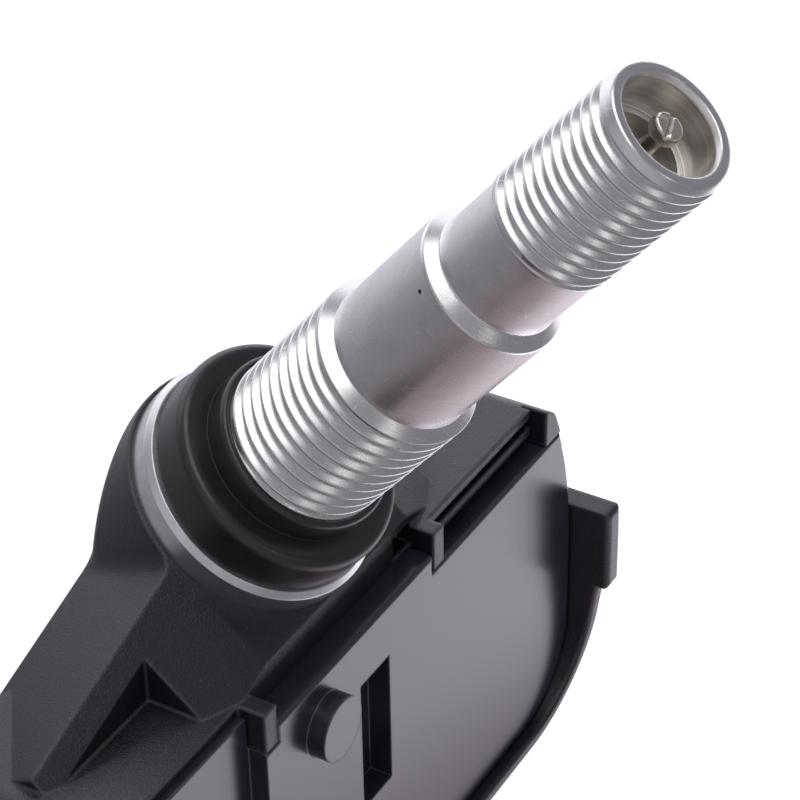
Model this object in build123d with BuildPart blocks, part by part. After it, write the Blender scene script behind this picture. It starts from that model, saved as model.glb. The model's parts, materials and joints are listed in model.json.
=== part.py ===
from build123d import *
import os
from math import asin, cos, degrees, hypot, radians, sin

os.makedirs("parts", exist_ok=True)

# Tyre pressure sensor on a clamp-in valve stem. Millimetres.
# The origin is on the stem's axis, where the seal's flange meets the wheel rim.
# +Z runs along the stem to its mouth, +X along the housing's long side.

# Seal stack between housing and rim
washer_thickness = 1.9
washer_radius = 7.85
washer_edge = 0.35
flange_thickness = 3.2
flange_radius = 7.35
flange_round = 0.7
neck_radius = 5.65
neck_length = 1.75
neck_lip_round = 0.35

# Valve stem
shank_radius = 4.8
base_thread_radius = 5.2
base_thread_length = 9.65
base_chamfer = 0.5
large_radius = 4.49
large_length = 8.6
shoulder_length = 0.6
small_radius = 3.71
small_length = 4.9
cap_thread_radius = 3.88
cap_thread_length = 9.2
thread_entry = 0.3
mouth_lip_length = 0.5
mouth_lip_radius = 3.5
mouth_radius = 3.05
mouth_bevel = 0.35
counterbore_radius = 2.83
counterbore_depth = 2.7
air_radius = 1.2
root_length = 2.6
collar_radius = 5.5
collar_length = 1.2

# Valve core
plug_radius = 2.33
plug_recess = 0.4
plug_length = 3.5
bridge_length = 1.4
bridge_width = 2.2
pin_radius = 0.5
pin_recess = 0.15
pin_head_radius = 0.86
pin_head_length = 0.95
pin_collar_radius = 1.15
pin_collar_length = 0.4
pin_collar_drop = 1.1
pin_rivet_radius = 0.8
pin_rivet_length = 0.5
pin_travel = 1.8
barrel_radius = 1.75
barrel_length = 7.9
barrel_wall = 0.4
barrel_floor = 1.2
port_radius = 0.8
core_seal_length = 1.8
core_seal_top_radius = 2.26
core_seal_radius = 1.98
core_seal_drop = 1.2
cup_depth = 1.4
cup_floor = 1.0
cup_wall = 0.2
cup_seal_radius = 1.5
cup_seal_thickness = 0.6
spring_wire_radius = 0.13
spring_wire_sides = 8
spring_turns = 6
core_clearance = 0.04
running_clearance = 0.08
cup_room = 1.2

# Housing, drawn on its deck: the plane of the lid's face.
# On the deck, x is the long side, s climbs towards the stem and h stands up from the lid.
stem_tilt = 50.1
pad_front = 7.9
pad_half = 8.0
ledge_drop = 1.8
ledge_width = 2.5
body_depth = 14.6
wall_top = 1.55
end_x = 27.4
end_radius = 29.0
end_level = 11.7
deck_length = 24.5
corner_radius = 6.5
back_round = 0.8
top_corner_round = 2.0
boss_radius = 8.1
boss_round = 1.0
boss_root_round = 1.5
ridge_side_fall = 0.373
ridge_back_fall = 0.49
gusset_half = 13.0
rib_front = 6.6
wall = 1.7
floor_thickness = 1.5
cavity_top = 4.0
lip_width = 1.3
lip_high = 2.2
lip_low = 0.9
lip_round = 0.3
skirt_depth = 6.5
cap_x = 23.4
tab_width = 1.8
tab_height = 3.0
tab_start = 8.6
tab_length = 6.6
tab_round = 0.4
rail_width = 0.6
rail_height = 0.7
rail_gap = 0.75
rail_inset = 1.1
web_length = 1.2
recess_left = 9.8
recess_right = 8.3
notch_width = 2.2
notch_depth = 1.2
notch_x = 7.4
notch_s = 1.0
notch_height = 1.7
insert_clearance = 0.03

# Lid
lid_setback = 1.3
lid_spigot = 0.9
lid_clearance = 0.1
lid_edge = 0.3
shelf_drop = 1.25
shelf_gap = 0.6
stub_radius = 2.1
stub_height = 1.25
stub_x = -4.8
stub_s = -3.7
slot_depth = 1.6
slot_width = 3.4
slot_length = 10.0
slot_floor = 0.8
slot_x = 0.95
slot_s = -4.0

# Electronics
board_thickness = 1.0
board_clearance = 0.6
board_level = 5.2
post_radius = 1.5
post_x = 19.5
post_spread = 12.0
cell_radius = 8.0
cell_thickness = 3.2
cell_cap_radius = 7.0
cell_cap_height = 0.25
cell_x = -9.5
tab_strip_thickness = 0.2
tab_strip_width = 3.0
tab_reach = 1.6
chip_size = 7.0
chip_height = 2.0
chip_x = 11.0
port_seal_radius = 2.4
port_seal_hole = 0.8
filter_radius = 1.9
filter_thickness = 0.5
coil_length = 8.0
coil_flange = 1.0
coil_width = 2.6
coil_height = 2.0
coil_neck = 1.3
coil_end_inset = 13.4
coil_inset = 3.0
crystal_length = 3.2
crystal_width = 2.5
crystal_height = 0.8
crystal_x = 3.0
capacitor_length = 2.0
capacitor_width = 1.25
capacitor_height = 0.9
capacitor_pitch = 3.2
capacitor_count = 4
capacitor_x = 6.0
capacitor_inset = 2.8
antenna_wire = 0.8
antenna_span = 20.0
antenna_rise = 1.0
antenna_x = -12.0
antenna_inset = 2.8

# Heights along the stem that follow from the sizes above
pad_z = -(flange_thickness + washer_thickness)
root_z = pad_z - root_length
thread_top_z = neck_length + base_thread_length
large_z = thread_top_z + base_chamfer
shoulder_z = large_z + large_length
small_z = shoulder_z + shoulder_length
cap_z = small_z + small_length
lip_z = cap_z + cap_thread_length
mouth_z = lip_z + mouth_lip_length
ledge_z = mouth_z - counterbore_depth
plug_top_z = ledge_z - plug_recess
plug_z = plug_top_z - plug_length
bridge_z = plug_top_z - bridge_length
barrel_z = plug_z - barrel_length
barrel_bore_radius = barrel_radius - barrel_wall
spring_seat_z = barrel_z + barrel_floor
pin_top_z = mouth_z - pin_recess
pin_collar_z = plug_z - pin_collar_drop - pin_collar_length
core_seal_z = plug_z - core_seal_drop - core_seal_length
cup_seal_z = barrel_z - cup_seal_thickness
cup_z = cup_seal_z - cup_floor
rivet_z = cup_z - pin_rivet_length
chamber_radius = plug_radius + core_clearance
core_bore_radius = core_seal_radius + core_clearance
core_bore_z = rivet_z - pin_travel - cup_room

# Deck plane: its origin is the middle of the lid's upper edge
deck_normal = Vector(0, -sin(radians(stem_tilt)), cos(radians(stem_tilt)))
deck_rise = Vector(0, cos(radians(stem_tilt)), sin(radians(stem_tilt)))
pad_edge = Vector(0, -pad_front, pad_z)
deck = Plane(
    origin=pad_edge - deck_rise * ledge_width + deck_normal * ledge_drop,
    x_dir=(1, 0, 0),
    z_dir=deck_normal,
)
ledge = deck.offset(-ledge_drop)
back = deck.offset(-body_depth)
cavity_floor = deck.offset(-(body_depth - floor_thickness))
board_top = deck.offset(-board_level)
board_under = deck.offset(-(board_level + board_thickness))
seat_on_deck = deck.to_local_coords(Vector(0, 0, pad_z))
board_drop = body_depth - floor_thickness - board_level - board_thickness
board_upper_s = -cavity_top - board_clearance
board_lower_s = wall + board_clearance - deck_length
board_s = (board_upper_s + board_lower_s) / 2
coil_s = board_upper_s - coil_inset
coil_x = end_x - coil_end_inset


def deck_vector(x, s, h):
    """A direction given along the deck's own axes."""
    return deck.x_dir * x + deck.y_dir * s + deck.z_dir * h


def plate(top, grow=0.0):
    """Outline of the deck: bowed ends, round far corners and a straight upper edge at height top."""
    bow = degrees(asin((top + end_level) / end_radius))
    knee = corner_radius - deck_length
    with BuildSketch() as outline:
        with BuildLine():
            end = CenterArc((end_x - end_radius, -end_level), end_radius, 0, bow)
            Line(end @ 1, (0, top))
            Line(end @ 0, (end_x, knee))
            corner = CenterArc((end_x - corner_radius, knee), corner_radius, 0, -90)
            Line(corner @ 1, (0, -deck_length))
            mirror(about=Plane.YZ)
        make_face()
        if grow:
            offset(amount=grow)
    return outline.sketch


def band(low, high):
    """A wide strip of the deck between two heights, for keeping part of an outline."""
    with Locations((0, (low + high) / 2)):
        Rectangle(4 * end_x, high - low, mode=Mode.INTERSECT)


def nearest_edge(edges, x, s, h):
    """The edge closest to a point given along the deck's own axes."""
    return edges.sort_by_distance(deck.from_local_coords(Vector(x, s, h)))[0]


def turned(points):
    """Revolve a closed outline of (radius, height) points about the stem's axis."""
    with BuildSketch(Plane.XZ) as profile:
        with BuildLine():
            Polyline(*points, close=True)
        make_face()
    revolve(profile.sketch, axis=Axis.Z)


# Valve stem: turned aluminium, with the core's chamber at its mouth
stem_outline = [
    (air_radius, root_z),
    (collar_radius, root_z),
    (collar_radius, root_z + collar_length),
    (shank_radius, root_z + collar_length),
    (shank_radius, neck_length - thread_entry),
    (base_thread_radius, neck_length),
    (base_thread_radius, thread_top_z),
    (large_radius, large_z),
    (large_radius, shoulder_z),
    (small_radius, small_z),
    (small_radius, cap_z - thread_entry),
    (cap_thread_radius, cap_z),
    (cap_thread_radius, lip_z),
    (mouth_lip_radius, mouth_z),
    (mouth_radius, mouth_z),
    (counterbore_radius, mouth_z - mouth_bevel),
    (counterbore_radius, ledge_z),
    (chamber_radius, ledge_z),
    (chamber_radius, core_seal_z + core_seal_length),
    (core_bore_radius, core_seal_z),
    (core_bore_radius, core_bore_z),
    (air_radius, core_bore_z - core_bore_radius),
]
with BuildPart() as valve_stem:
    turned(stem_outline)
valve_stem.part.label = "valve_stem"
export_step(valve_stem.part, "parts/valve_stem.step")

# Seat washer under the seal
with BuildPart() as seat_washer:
    with BuildSketch(Plane.XY.offset(pad_z)):
        Circle(washer_radius)
        Circle(shank_radius + insert_clearance, mode=Mode.SUBTRACT)
    extrude(amount=washer_thickness)
    chamfer(seat_washer.faces().sort_by(Axis.Z)[-1].edges().sort_by(SortBy.LENGTH)[-1], washer_edge)
seat_washer.part.label = "seat_washer"
export_step(seat_washer.part, "parts/seat_washer.step")

# Rubber grommet: flange against the rim's inside, neck in the valve hole
grommet_bore = shank_radius + insert_clearance
with BuildPart() as grommet:
    turned([
        (grommet_bore, -flange_thickness),
        (flange_radius, -flange_thickness),
        (flange_radius, 0),
        (neck_radius, 0),
        (neck_radius, neck_length),
        (base_thread_radius + insert_clearance, neck_length),
        (grommet_bore, neck_length - thread_entry),
    ])
    rims = grommet.edges().filter_by(GeomType.CIRCLE).group_by(SortBy.RADIUS)
    fillet(rims[-1].sort_by(Axis.Z)[-1], flange_round)
    lips = grommet.edges().filter_by(GeomType.CIRCLE).sort_by(Axis.Z)[-2:]
    fillet(lips.sort_by(SortBy.RADIUS)[-1], neck_lip_round)
grommet.part.label = "grommet"
export_step(grommet.part, "parts/grommet.step")

# Valve core: threaded plug with a bridge that guides the pin
with BuildPart() as core_plug:
    turned([
        (barrel_bore_radius, plug_z),
        (plug_radius, plug_z),
        (plug_radius, plug_top_z),
        (pin_radius + running_clearance, plug_top_z),
        (pin_radius + running_clearance, bridge_z),
        (barrel_bore_radius, bridge_z),
    ])
    with BuildSketch(Plane.XY.offset(bridge_z)):
        Rectangle(3 * plug_radius, 3 * plug_radius)
        Rectangle(bridge_width, 3 * plug_radius, mode=Mode.SUBTRACT)
    extrude(amount=bridge_length, mode=Mode.SUBTRACT)
core_plug.part.label = "core_plug"
export_step(core_plug.part, "parts/core_plug.step")

with BuildPart() as core_barrel:
    turned([
        (port_radius, barrel_z),
        (barrel_radius, barrel_z),
        (barrel_radius, plug_z),
        (barrel_bore_radius, plug_z),
        (barrel_bore_radius, spring_seat_z),
        (port_radius, spring_seat_z),
    ])
core_barrel.part.label = "core_barrel"
export_step(core_barrel.part, "parts/core_barrel.step")

with BuildPart() as core_seal:
    turned([
        (barrel_radius + core_clearance, core_seal_z),
        (core_seal_radius, core_seal_z),
        (core_seal_top_radius, core_seal_z + core_seal_length),
        (barrel_radius + core_clearance, core_seal_z + core_seal_length),
    ])
core_seal.part.label = "core_seal"
export_step(core_seal.part, "parts/core_seal.step")

# Pin: flat head at the mouth, a collar for the spring and a riveted foot under the cup
with BuildPart() as core_pin:
    turned([
        (0, rivet_z),
        (pin_rivet_radius, rivet_z),
        (pin_rivet_radius, cup_z),
        (pin_radius, cup_z),
        (pin_radius, pin_collar_z),
        (pin_collar_radius, pin_collar_z),
        (pin_collar_radius, pin_collar_z + pin_collar_length),
        (pin_radius, pin_collar_z + pin_collar_length),
        (pin_radius, pin_top_z - pin_head_length),
        (pin_head_radius, pin_top_z - pin_head_length),
        (pin_head_radius, pin_top_z),
        (0, pin_top_z),
    ])
core_pin.part.label = "core_pin"
export_step(core_pin.part, "parts/core_pin.step")

cup_bore = cup_seal_radius + core_clearance
with BuildPart() as core_cup:
    turned([
        (pin_radius + core_clearance, cup_z),
        (cup_bore + cup_wall, cup_z),
        (cup_bore + cup_wall, cup_z + cup_depth),
        (cup_bore, cup_z + cup_depth),
        (cup_bore, cup_seal_z),
        (pin_radius + core_clearance, cup_seal_z),
    ])
core_cup.part.label = "core_cup"
export_step(core_cup.part, "parts/core_cup.step")

with BuildPart() as cup_seal:
    with BuildSketch(Plane.XY.offset(cup_seal_z)):
        Circle(cup_seal_radius)
        Circle(pin_radius + core_clearance, mode=Mode.SUBTRACT)
    extrude(amount=cup_seal_thickness)
cup_seal.part.label = "cup_seal"
export_step(cup_seal.part, "parts/cup_seal.step")

# Return spring round the pin, from the barrel's floor to the pin's collar, coiled in tilted half turns
spring_radius = (pin_radius + barrel_bore_radius) / 2
spring_start_z = spring_seat_z + spring_wire_radius + core_clearance
spring_length = pin_collar_z - core_clearance - spring_wire_radius - spring_start_z
half_rise = spring_length / (2 * spring_turns)
half_bulge = hypot(spring_radius, half_rise / 2)
with BuildPart() as core_spring:
    with BuildLine() as coil_path:
        for half in range(2 * spring_turns):
            side = 1 - 2 * (half % 2)
            half_z = spring_start_z + half * half_rise
            ThreePointArc(
                (side * spring_radius, 0, half_z),
                (0, side * half_bulge, half_z + half_rise / 2),
                (-side * spring_radius, 0, half_z + half_rise),
            )
    with BuildSketch(Plane(origin=coil_path.line @ 0, z_dir=coil_path.line % 0)):
        RegularPolygon(spring_wire_radius, spring_wire_sides)
    sweep()
core_spring.part.label = "core_spring"
export_step(core_spring.part, "parts/core_spring.step")

# Housing: a moulded box under the lid, gabled behind the stem's slanted seat
half_top = end_x - end_radius + end_radius * cos(asin((wall_top + end_level) / end_radius))
gable_top = seat_on_deck.Y + pad_half
pad_rise = sin(radians(stem_tilt))
pad_lean = cos(radians(stem_tilt))
with BuildPart() as gable:
    with BuildSketch(ledge):
        with Locations((0, gable_top / 2)):
            Rectangle(2 * gusset_half, gable_top)
    extrude(amount=ledge_drop - body_depth)
    with BuildSketch(deck.offset(-rib_front)):
        with Locations((0, gable_top / 2)):
            Rectangle(2 * (half_top - top_corner_round), gable_top)
    extrude(amount=rib_front - body_depth)
    split(bisect_by=Plane.XY.offset(pad_z), keep=Keep.BOTTOM)
    for side in (-1, 1):
        ridge_end = deck.from_local_coords(Vector(side * pad_half, seat_on_deck.Y, seat_on_deck.Z))
        front_slope = deck_vector(side * ridge_side_fall * pad_rise, pad_rise, pad_lean)
        back_slope = deck_vector(side * ridge_side_fall, 1, -ridge_back_fall)
        split(bisect_by=Plane(origin=ridge_end, z_dir=front_slope), keep=Keep.BOTTOM)
        split(bisect_by=Plane(origin=ridge_end, z_dir=back_slope), keep=Keep.BOTTOM)

# Round boss behind the seat, rounded off where it reaches the housing's back
with BuildPart() as seat_boss:
    with BuildSketch(Plane.XY.offset(pad_z)):
        Circle(boss_radius)
    extrude(amount=-2 * body_depth)
    split(bisect_by=back, keep=Keep.TOP)
    split(bisect_by=Plane(origin=deck.origin - deck_rise * cavity_top, z_dir=deck_rise), keep=Keep.TOP)
    back_rim = seat_boss.faces().sort_by(Axis(back.origin, deck_normal))[0].edges()
    fillet(back_rim.filter_by(GeomType.ELLIPSE), boss_round)
    split(bisect_by=ledge, keep=Keep.BOTTOM)

root_bore = [
    (0, pad_z),
    (shank_radius + insert_clearance, pad_z),
    (shank_radius + insert_clearance, root_z + collar_length + insert_clearance),
    (collar_radius + insert_clearance, root_z + collar_length + insert_clearance),
    (collar_radius + insert_clearance, root_z),
    (air_radius, root_z),
    (air_radius, root_z - body_depth),
    (0, root_z - body_depth),
]
with BuildSketch(Plane.XZ) as root_profile:
    with BuildLine():
        Polyline(*root_bore, close=True)
    make_face()

tab_end = tab_start + tab_length
lip_fall = (lip_high - lip_low) / (deck_length - tab_end)
with BuildPart() as lip:
    with BuildSketch(ledge):
        add(plate(wall_top, lip_width))
        add(plate(-lid_setback, lid_clearance), mode=Mode.SUBTRACT)
        band(-2 * deck_length, -tab_end)
    extrude(amount=ledge_drop + lip_high)
    lip_top = deck.from_local_coords(Vector(0, -tab_end, lip_high))
    lip_normal = deck_vector(0, -lip_fall, 1).normalized()
    split(bisect_by=Plane(origin=lip_top, z_dir=lip_normal), keep=Keep.BOTTOM)
    fillet(lip.faces().sort_by(Axis(lip_top, lip_normal))[-1].edges(), lip_round)

with BuildPart() as housing:
    with BuildSketch(ledge):
        add(plate(wall_top))
    extrude(amount=ledge_drop - body_depth)
    # raised ends of the ledge, level with the lid
    with BuildSketch(ledge):
        add(plate(wall_top))
        band(lid_clearance - lid_setback, wall_top)
        Rectangle(2 * cap_x, 4 * wall_top, mode=Mode.SUBTRACT)
    extrude(amount=ledge_drop)
    uprights = housing.edges().filter_by(Axis(deck.origin, deck_normal))
    corners = uprights.group_by(Axis(deck.origin, deck_rise))[-1]
    fillet((corners.sort_by(Axis.X)[0], corners.sort_by(Axis.X)[-1]), top_corner_round)
    fillet(housing.faces().sort_by(Axis(back.origin, deck_normal))[0].edges(), back_round)
    add(gable.part)
    add(seat_boss.part)
    boss_mid = (seat_on_deck.Z - body_depth) / 2
    for side in (-1, 1):
        root = nearest_edge(housing.edges(), side * boss_radius, seat_on_deck.Y / 2, boss_mid)
        fillet(root, boss_root_round)
    # skirt round the far side, with a raised lip and a tab at each end
    with BuildSketch(ledge):
        add(plate(wall_top, lip_width))
        band(-2 * deck_length, -tab_start)
    extrude(amount=-skirt_depth)
    add(lip.part)
    with BuildSketch(ledge):
        add(plate(wall_top, tab_width))
        add(plate(-lid_setback, lid_clearance), mode=Mode.SUBTRACT)
        band(-tab_end, -tab_start)
    extrude(amount=ledge_drop + tab_height)
    fillet(housing.faces().group_by(Axis(deck.origin, deck_normal))[-1].edges(), tab_round)
    # rails on the ledge at the right, and a web at each end of the lid's tongue
    rail_length = half_top - recess_right - 2 * rail_inset
    web_reach = lid_setback - lid_clearance
    with BuildSketch(ledge):
        for row in range(2):
            rail_s = wall_top - rail_width / 2 - row * (rail_width + rail_gap)
            with Locations(((half_top + recess_right) / 2, rail_s)):
                Rectangle(rail_length, rail_width)
    extrude(amount=rail_height)
    with BuildSketch(ledge):
        for web_x in (recess_right + web_length / 2, -recess_left - web_length / 2):
            with Locations((web_x, (wall_top - web_reach) / 2)):
                Rectangle(web_length, wall_top + web_reach)
    extrude(amount=ledge_drop)
    # notch at the end of the ledge
    with BuildSketch(ledge):
        with Locations((notch_x, notch_s)):
            Rectangle(notch_width, notch_height)
    extrude(amount=-notch_depth, mode=Mode.SUBTRACT)
    # cavity under the lid, with posts for the board
    with BuildSketch(ledge):
        add(plate(wall - cavity_top, -wall))
    extrude(amount=-(body_depth - floor_thickness - ledge_drop), mode=Mode.SUBTRACT)
    with BuildSketch(cavity_floor):
        with Locations((0, board_s)):
            with GridLocations(2 * post_x, post_spread, 2, 2):
                Circle(post_radius)
    extrude(amount=board_drop)
    # moulded-in seat of the stem's root and its air outlet
    revolve(root_profile.sketch, axis=Axis.Z, mode=Mode.SUBTRACT)
    # pressure port with a seat for its filter
    with BuildSketch(cavity_floor):
        with Locations((chip_x, board_s)):
            Circle(port_seal_hole)
    extrude(amount=-floor_thickness, mode=Mode.SUBTRACT)
    with BuildSketch(back):
        with Locations((chip_x, board_s)):
            Circle(filter_radius + insert_clearance)
    extrude(amount=filter_thickness, mode=Mode.SUBTRACT)
housing.part.label = "housing"
export_step(housing.part, "parts/housing.step")

# Lid: raised plate on the ledge, lower at its left, spigot in the cavity, a plain slot and a stub
step_x = recess_left + web_length
shelf_top = wall_top - shelf_gap
backing_top = -cavity_top - lid_clearance
backing_low = slot_s - slot_length - slot_floor
with BuildPart() as lid:
    with BuildSketch(ledge):
        add(plate(-lid_setback))
        with Locations(((recess_right - recess_left) / 2, -lid_setback)):
            Rectangle(recess_right + recess_left - 2 * lid_clearance, 2 * lid_setback)
    extrude(amount=ledge_drop)
    with BuildSketch(ledge):
        add(plate(wall - cavity_top, -wall - lid_clearance))
        add(plate(2 * wall - cavity_top, -2 * wall), mode=Mode.SUBTRACT)
    extrude(amount=-lid_spigot)
    with BuildSketch(ledge):
        with Locations((slot_x, (backing_top + backing_low) / 2)):
            Rectangle(slot_width + 2 * slot_floor, backing_top - backing_low)
    extrude(amount=ledge_drop - slot_depth - slot_floor)
    fillet(lid.faces().sort_by(Axis(deck.origin, deck_normal))[-1].edges(), lid_edge)
    with BuildSketch(deck):
        with Locations((stub_x, stub_s)):
            Circle(stub_radius)
    extrude(amount=stub_height)
    with BuildSketch(deck):
        with Locations((slot_x, slot_s - slot_length / 2)):
            Rectangle(slot_width, slot_length)
    extrude(amount=-slot_depth, mode=Mode.SUBTRACT)
    with BuildSketch(deck):
        with Locations((-step_x - end_x, -deck_length / 2)):
            Rectangle(2 * end_x, 2 * deck_length)
    extrude(amount=-shelf_drop, mode=Mode.SUBTRACT)
    with BuildSketch(ledge):
        with Locations((-(cap_x + step_x) / 2, (shelf_top - lid_setback) / 2)):
            Rectangle(cap_x - step_x - 2 * lid_clearance, shelf_top + lid_setback)
    extrude(amount=ledge_drop - shelf_drop)
lid.part.label = "lid"
export_step(lid.part, "parts/lid.step")

# Circuit board on the posts
with BuildPart() as circuit_board:
    with BuildSketch(board_under):
        add(plate(wall + board_clearance - cavity_top, -wall - board_clearance))
    extrude(amount=board_thickness)
circuit_board.part.label = "circuit_board"
export_step(circuit_board.part, "parts/circuit_board.step")

# Coin cell on its positive tab, with a lower cap on top
with BuildPart() as coin_cell:
    with BuildSketch(cavity_floor.offset(tab_strip_thickness)):
        with Locations((cell_x, board_s)):
            Circle(cell_radius)
    extrude(amount=cell_thickness)
    with BuildSketch(cavity_floor.offset(tab_strip_thickness + cell_thickness)):
        with Locations((cell_x, board_s)):
            Circle(cell_cap_radius)
    extrude(amount=cell_cap_height)
coin_cell.part.label = "coin_cell"
export_step(coin_cell.part, "parts/coin_cell.step")


def strip_tab(level, direction):
    """Bent strip from the middle of the cell at a height, out past its side and up to the board."""
    outer = direction * (cell_radius + tab_reach)
    side_view = Plane(
        origin=cavity_floor.from_local_coords(Vector(cell_x, board_s, 0)),
        x_dir=(1, 0, 0),
        z_dir=deck_rise * -1,
    )
    with BuildSketch(side_view) as section:
        with Locations((outer / 2, level + tab_strip_thickness / 2)):
            Rectangle(cell_radius + tab_reach, tab_strip_thickness)
        with Locations((outer - direction * tab_strip_thickness / 2, (level + board_drop) / 2)):
            Rectangle(tab_strip_thickness, board_drop - level)
    extrude(section.sketch, amount=tab_strip_width / 2, both=True)


with BuildPart() as positive_tab:
    strip_tab(0, -1)
positive_tab.part.label = "positive_tab"
export_step(positive_tab.part, "parts/positive_tab.step")

with BuildPart() as negative_tab:
    strip_tab(tab_strip_thickness + cell_thickness + cell_cap_height, 1)
negative_tab.part.label = "negative_tab"
export_step(negative_tab.part, "parts/negative_tab.step")

# Pressure sensor chip under the board, sealed to the port in the housing's back
with BuildPart() as sensor_chip:
    with BuildSketch(board_under):
        with Locations((chip_x, board_s)):
            Rectangle(chip_size, chip_size)
    extrude(amount=-chip_height)
sensor_chip.part.label = "sensor_chip"
export_step(sensor_chip.part, "parts/sensor_chip.step")

with BuildPart() as port_seal:
    with BuildSketch(cavity_floor):
        with Locations((chip_x, board_s)):
            Circle(port_seal_radius)
            Circle(port_seal_hole, mode=Mode.SUBTRACT)
    extrude(amount=board_drop - chip_height)
port_seal.part.label = "port_seal"
export_step(port_seal.part, "parts/port_seal.step")

with BuildPart() as port_filter:
    with BuildSketch(back):
        with Locations((chip_x, board_s)):
            Circle(filter_radius)
    extrude(amount=filter_thickness)
port_filter.part.label = "port_filter"
export_step(port_filter.part, "parts/port_filter.step")

# Wake-up coil: ferrite bobbin and its winding
with BuildPart() as coil_core:
    with BuildSketch(board_top):
        with Locations((coil_x, coil_s)):
            with GridLocations(coil_length - coil_flange, 1, 2, 1):
                Rectangle(coil_flange, coil_width)
    extrude(amount=coil_height)
    with BuildSketch(board_top.offset((coil_height - coil_neck) / 2)):
        with Locations((coil_x, coil_s)):
            Rectangle(coil_length, coil_neck)
    extrude(amount=coil_neck)
coil_core.part.label = "coil_core"
export_step(coil_core.part, "parts/coil_core.step")

winding_margin = (coil_height - coil_neck) / 4
with BuildPart() as coil_winding:
    with BuildSketch(board_top.offset(winding_margin)):
        with Locations((coil_x, coil_s)):
            Rectangle(coil_length - 2 * coil_flange, coil_width - 2 * winding_margin)
    extrude(amount=coil_height - 2 * winding_margin)
    with BuildSketch(board_top.offset((coil_height - coil_neck) / 2)):
        with Locations((coil_x, coil_s)):
            Rectangle(coil_length, coil_neck)
    extrude(amount=coil_neck, mode=Mode.SUBTRACT)
coil_winding.part.label = "coil_winding"
export_step(coil_winding.part, "parts/coil_winding.step")

with BuildPart() as crystal:
    with BuildSketch(board_top):
        with Locations((crystal_x, coil_s)):
            Rectangle(crystal_length, crystal_width)
    extrude(amount=crystal_height)
crystal.part.label = "crystal"
export_step(crystal.part, "parts/crystal.step")

with BuildPart() as capacitors:
    with BuildSketch(board_top):
        with Locations((capacitor_x, board_lower_s + capacitor_inset)):
            with GridLocations(capacitor_pitch, 1, capacitor_count, 1):
                Rectangle(capacitor_length, capacitor_width)
    extrude(amount=capacitor_height)
capacitors.part.label = "capacitors"
export_step(capacitors.part, "parts/capacitors.step")

# Aerial loop: a stamped bar that stands on two feet on the board
antenna_view = Plane(
    origin=board_top.from_local_coords(Vector(antenna_x, board_upper_s - antenna_inset, 0)),
    x_dir=(1, 0, 0),
    z_dir=deck_rise * -1,
)
with BuildPart() as antenna_loop:
    with BuildSketch(antenna_view):
        with Locations((0, (antenna_rise + antenna_wire) / 2)):
            Rectangle(antenna_span, antenna_rise + antenna_wire)
        with Locations((0, antenna_rise / 2)):
            Rectangle(antenna_span - 2 * antenna_wire, antenna_rise, mode=Mode.SUBTRACT)
    extrude(amount=antenna_wire / 2, both=True)
antenna_loop.part.label = "antenna_loop"
export_step(antenna_loop.part, "parts/antenna_loop.step")
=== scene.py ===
"""Looks of a tyre pressure sensor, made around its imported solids.

The turned stem gets its threads here, the valve pin its crimped head and the return spring its round wire.
Every other solid gets a finish, and a small white studio lights and frames the whole.
"""

import json
import logging
import math
from dataclasses import dataclass, field
from enum import Enum
from typing import Any, Iterator, NamedTuple, Optional, Union

import bmesh
import bpy
from mathutils import Matrix, Vector


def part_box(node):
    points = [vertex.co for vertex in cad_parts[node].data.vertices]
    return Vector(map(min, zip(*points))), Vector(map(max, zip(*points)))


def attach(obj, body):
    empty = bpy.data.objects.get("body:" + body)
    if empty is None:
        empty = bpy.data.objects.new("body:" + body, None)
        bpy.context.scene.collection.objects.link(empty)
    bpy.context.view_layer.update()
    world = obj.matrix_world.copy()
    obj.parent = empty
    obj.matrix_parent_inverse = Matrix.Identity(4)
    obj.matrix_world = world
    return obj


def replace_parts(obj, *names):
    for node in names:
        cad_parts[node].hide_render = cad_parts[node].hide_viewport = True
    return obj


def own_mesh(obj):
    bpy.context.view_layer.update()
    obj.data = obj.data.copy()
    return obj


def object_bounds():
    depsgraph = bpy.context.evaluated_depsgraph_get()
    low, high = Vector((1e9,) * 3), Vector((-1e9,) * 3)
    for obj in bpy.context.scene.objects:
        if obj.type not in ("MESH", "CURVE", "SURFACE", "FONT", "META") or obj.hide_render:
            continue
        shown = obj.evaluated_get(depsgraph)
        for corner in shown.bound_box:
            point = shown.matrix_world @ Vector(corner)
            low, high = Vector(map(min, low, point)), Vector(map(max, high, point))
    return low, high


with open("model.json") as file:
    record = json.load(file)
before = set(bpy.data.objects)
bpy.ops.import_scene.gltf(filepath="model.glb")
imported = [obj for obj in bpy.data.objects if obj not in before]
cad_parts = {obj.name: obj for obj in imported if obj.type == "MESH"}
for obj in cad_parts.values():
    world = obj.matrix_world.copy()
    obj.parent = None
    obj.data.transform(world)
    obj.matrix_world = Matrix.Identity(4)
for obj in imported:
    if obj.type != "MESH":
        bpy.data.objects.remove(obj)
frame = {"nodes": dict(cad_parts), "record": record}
cad_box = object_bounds()

MM = 0.001
FULL_TURN = 2 * math.pi
SHARP_ANGLE = math.radians(40)
SHADING_WEIGHT = 80
# Middle value of noise and wave patterns
PATTERN_MIDDLE = 0.5

Colour = tuple[float, float, float]
Place = tuple[float, float, float]
Span = tuple[float, float]
WHITE: Colour = (1.0, 1.0, 1.0)
log = logging.getLogger("tyre_sensor")


class Body(Enum):
    """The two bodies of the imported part."""

    SENSOR = "sensor"
    PIN = "pin"


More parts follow.
